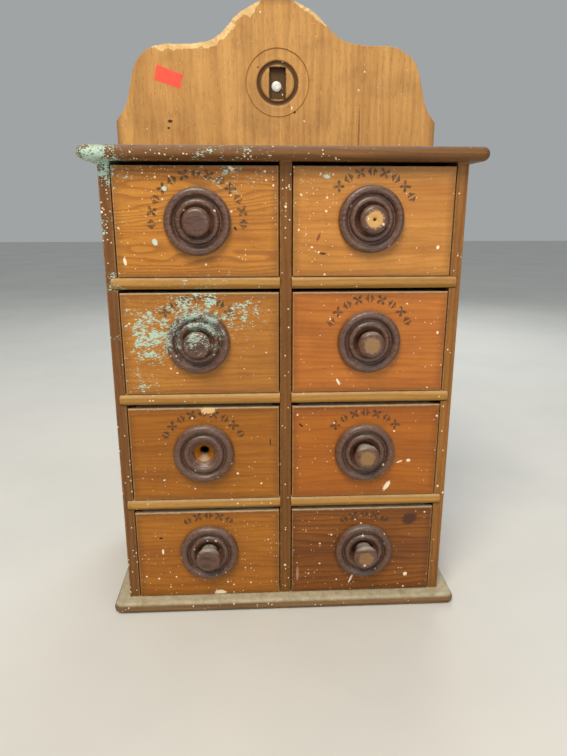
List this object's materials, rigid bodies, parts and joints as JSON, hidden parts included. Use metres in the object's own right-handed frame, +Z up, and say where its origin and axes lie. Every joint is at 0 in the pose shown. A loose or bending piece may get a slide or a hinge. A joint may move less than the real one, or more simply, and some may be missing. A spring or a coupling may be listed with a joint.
{
  "type": "spice cabinet",
  "caption": "Hanging spice cabinet with a scrolled back, a round-edged top and base, and two columns of small drawers with turned rosettes and knobs",
  "frame": {"origin": "middle of the bounding box, at the underside of the base board and backboard", "axes": "+X to the viewer's right, +Y from the drawer fronts to the wall, +Z up"},
  "size_m": [0.2724, 0.1514, 0.4747],
  "materials": {
    "case_wood": "worn amber varnish",
    "back_wood": "thin worn varnish",
    "base_wood": "worn and dusty",
    "front_wood": "amber varnish",
    "inside_wood": "bare",
    "dark_wood": "dark stain, worn",
    "nail_iron": "dull iron"
  },
  "bodies": {
    "case": {"backboard": "back_wood", "top_board": "case_wood", "base_board": "base_wood", "side_left": "case_wood", "side_right": "case_wood", "center_divider": "case_wood", "shelf_left_1": "case_wood", "shelf_left_2": "case_wood", "shelf_left_3": "case_wood", "shelf_right_1": "case_wood", "shelf_right_2": "case_wood", "shelf_right_3": "case_wood", "case_nails": "nail_iron"},
    "drawer_left_1": {"drawer_left_1_front": "front_wood", "drawer_left_1_sides": "inside_wood", "drawer_left_1_back": "inside_wood", "drawer_left_1_bottom": "inside_wood", "drawer_left_1_rosette": "dark_wood", "drawer_left_1_knob": "dark_wood"},
    "drawer_left_2": {"drawer_left_2_front": "front_wood", "drawer_left_2_sides": "inside_wood", "drawer_left_2_back": "inside_wood", "drawer_left_2_bottom": "inside_wood", "drawer_left_2_rosette": "dark_wood", "drawer_left_2_knob": "dark_wood"},
    "drawer_left_3": {"drawer_left_3_front": "front_wood", "drawer_left_3_sides": "inside_wood", "drawer_left_3_back": "inside_wood", "drawer_left_3_bottom": "inside_wood", "drawer_left_3_rosette": "dark_wood"},
    "drawer_left_4": {"drawer_left_4_front": "front_wood", "drawer_left_4_sides": "inside_wood", "drawer_left_4_back": "inside_wood", "drawer_left_4_bottom": "inside_wood", "drawer_left_4_rosette": "dark_wood", "drawer_left_4_knob": "dark_wood"},
    "drawer_right_1": {"drawer_right_1_front": "front_wood", "drawer_right_1_sides": "inside_wood", "drawer_right_1_back": "inside_wood", "drawer_right_1_bottom": "inside_wood", "drawer_right_1_rosette": "dark_wood", "drawer_right_1_knob": "dark_wood"},
    "drawer_right_2": {"drawer_right_2_front": "front_wood", "drawer_right_2_sides": "inside_wood", "drawer_right_2_back": "inside_wood", "drawer_right_2_bottom": "inside_wood", "drawer_right_2_rosette": "dark_wood", "drawer_right_2_knob": "dark_wood"},
    "drawer_right_3": {"drawer_right_3_front": "front_wood", "drawer_right_3_sides": "inside_wood", "drawer_right_3_back": "inside_wood", "drawer_right_3_bottom": "inside_wood", "drawer_right_3_rosette": "dark_wood", "drawer_right_3_knob": "dark_wood"},
    "drawer_right_4": {"drawer_right_4_front": "front_wood", "drawer_right_4_sides": "inside_wood", "drawer_right_4_back": "inside_wood", "drawer_right_4_bottom": "inside_wood", "drawer_right_4_rosette": "dark_wood", "drawer_right_4_knob": "dark_wood"}
  },
  "joints": [
    {"name": "drawer_left_1_slide", "type": "slide", "parent": "case", "child": "drawer_left_1", "axis": [0, -1, 0], "range_m": [0, 0.095]},
    {"name": "drawer_left_2_slide", "type": "slide", "parent": "case", "child": "drawer_left_2", "axis": [0, -1, 0], "range_m": [0, 0.095]},
    {"name": "drawer_left_3_slide", "type": "slide", "parent": "case", "child": "drawer_left_3", "axis": [0, -1, 0], "range_m": [0, 0.095]},
    {"name": "drawer_left_4_slide", "type": "slide", "parent": "case", "child": "drawer_left_4", "axis": [0, -1, 0], "range_m": [0, 0.095]},
    {"name": "drawer_right_1_slide", "type": "slide", "parent": "case", "child": "drawer_right_1", "axis": [0, -1, 0], "range_m": [0, 0.095]},
    {"name": "drawer_right_2_slide", "type": "slide", "parent": "case", "child": "drawer_right_2", "axis": [0, -1, 0], "range_m": [0, 0.095]},
    {"name": "drawer_right_3_slide", "type": "slide", "parent": "case", "child": "drawer_right_3", "axis": [0, -1, 0], "range_m": [0, 0.095]},
    {"name": "drawer_right_4_slide", "type": "slide", "parent": "case", "child": "drawer_right_4", "axis": [0, -1, 0], "range_m": [0, 0.095]}
  ]
}
